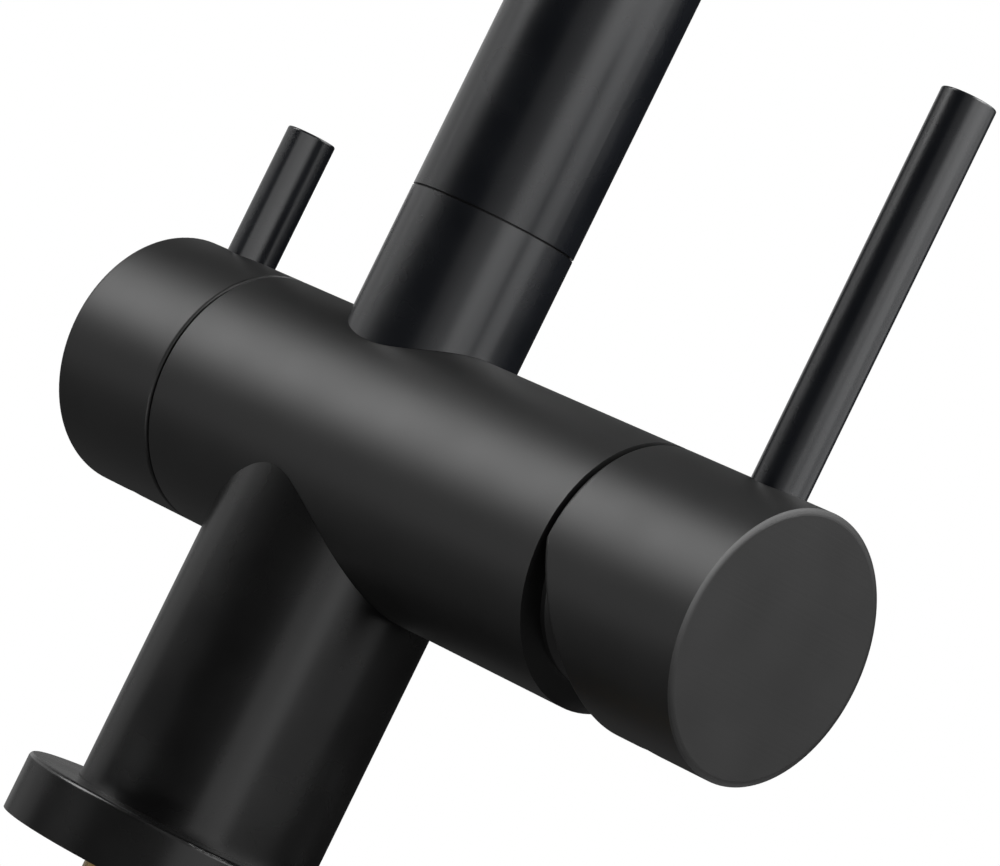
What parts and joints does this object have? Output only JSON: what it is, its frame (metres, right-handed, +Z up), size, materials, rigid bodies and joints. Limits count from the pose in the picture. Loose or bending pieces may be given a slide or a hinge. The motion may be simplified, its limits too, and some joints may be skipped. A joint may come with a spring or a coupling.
{
  "type": "three way filtered water tap",
  "caption": "Deck mounted kitchen tap with a swivelling spout, a mixer lever and a separate filtered water lever on a horizontal barrel.",
  "frame": {"origin": "centre of the base on the counter plane, on the axis of the shank and the column", "axes": "+Z up the column, +X along the barrel towards the mixer lever, -Y towards the user and the spout's outlet"},
  "size_m": [0.1611, 0.2377, 0.4347],
  "materials": {
    "black_coat": "satin black coating on metal",
    "brass": "machined",
    "steel": "plain",
    "ceramic": "lapped",
    "rubber": "matte",
    "white_plastic": "moulded",
    "black_plastic": "moulded"
  },
  "bodies": {
    "tap_body": {"valve_body": "black_coat", "spout_neck": "black_coat", "column_sleeve": "black_coat", "base_flange": "black_coat", "base_seal": "rubber", "mounting_shank": "brass", "deck_gasket": "rubber", "clamp_washer": "steel", "clamp_nut": "brass", "clamp_screw_1": "steel", "clamp_screw_2": "steel", "clamp_screw_3": "steel", "cartridge_base": "white_plastic", "port_seal_hot": "rubber", "port_seal_cold": "rubber", "port_seal_mixed": "rubber", "fixed_ceramic_disc": "ceramic", "cartridge_case": "white_plastic", "cartridge_nut": "brass", "cartridge_shroud": "black_coat", "spout_bearing_ring": "black_plastic", "spout_retaining_screw": "steel", "filter_valve_body": "brass", "filter_valve_seal": "rubber", "filter_fixed_disc": "ceramic"},
    "mixer_carrier": {"cartridge_carrier": "white_plastic", "stem_pin": "steel"},
    "mixer_disc": {"moving_ceramic_disc": "ceramic", "disc_driver": "white_plastic"},
    "mixer_grip": {"cartridge_stem": "brass", "mixer_handle": "black_coat", "mixer_lever": "black_coat", "mixer_set_screw": "steel", "mixer_screw_cap": "black_plastic"},
    "filter_grip": {"filter_moving_disc": "ceramic", "filter_spindle": "brass", "filter_spline_adaptor": "white_plastic", "filter_handle": "black_coat", "filter_lever": "black_coat", "filter_set_screw": "steel", "filter_screw_cap": "black_plastic"},
    "spout": {"spout_tube": "black_coat", "spout_adaptor": "brass", "spout_o_ring_lower": "rubber", "spout_o_ring_upper": "rubber", "filtered_water_tube": "white_plastic", "filtered_tube_fitting": "brass", "filtered_tube_seal": "rubber", "outlet_sleeve": "brass", "aerator_shell": "black_coat", "aerator_insert": "white_plastic", "filtered_nozzle": "black_plastic", "aerator_seal": "rubber"}
  },
  "joints": [
    {"name": "spout_swivel", "type": "hinge", "parent": "tap_body", "child": "spout", "pos_m": [0, 0, 0.1301], "axis": [0, 0, 1], "continuous": true},
    {"name": "mixer_turn", "type": "hinge", "parent": "tap_body", "child": "mixer_carrier", "pos_m": [0.0625, 0, 0.083], "axis": [1, 0, 0], "range_deg": [-45, 45]},
    {"name": "mixer_tilt", "type": "hinge", "parent": "mixer_carrier", "child": "mixer_grip", "pos_m": [0.0625, 0, 0.083], "axis": [0, 1, 0], "range_deg": [0, 25]},
    {"name": "disc_slide", "type": "slide", "parent": "mixer_carrier", "child": "mixer_disc", "axis": [0, 0, 1], "range_m": [0, 0.004]},
    {"name": "filter_turn", "type": "hinge", "parent": "tap_body", "child": "filter_grip", "pos_m": [-0.035, 0, 0.083], "axis": [1, 0, 0], "range_deg": [0, 90]}
  ],
  "couplings": [
    {"joint": "disc_slide", "follows": "mixer_tilt", "m_per_rad": 0.0091}
  ]
}
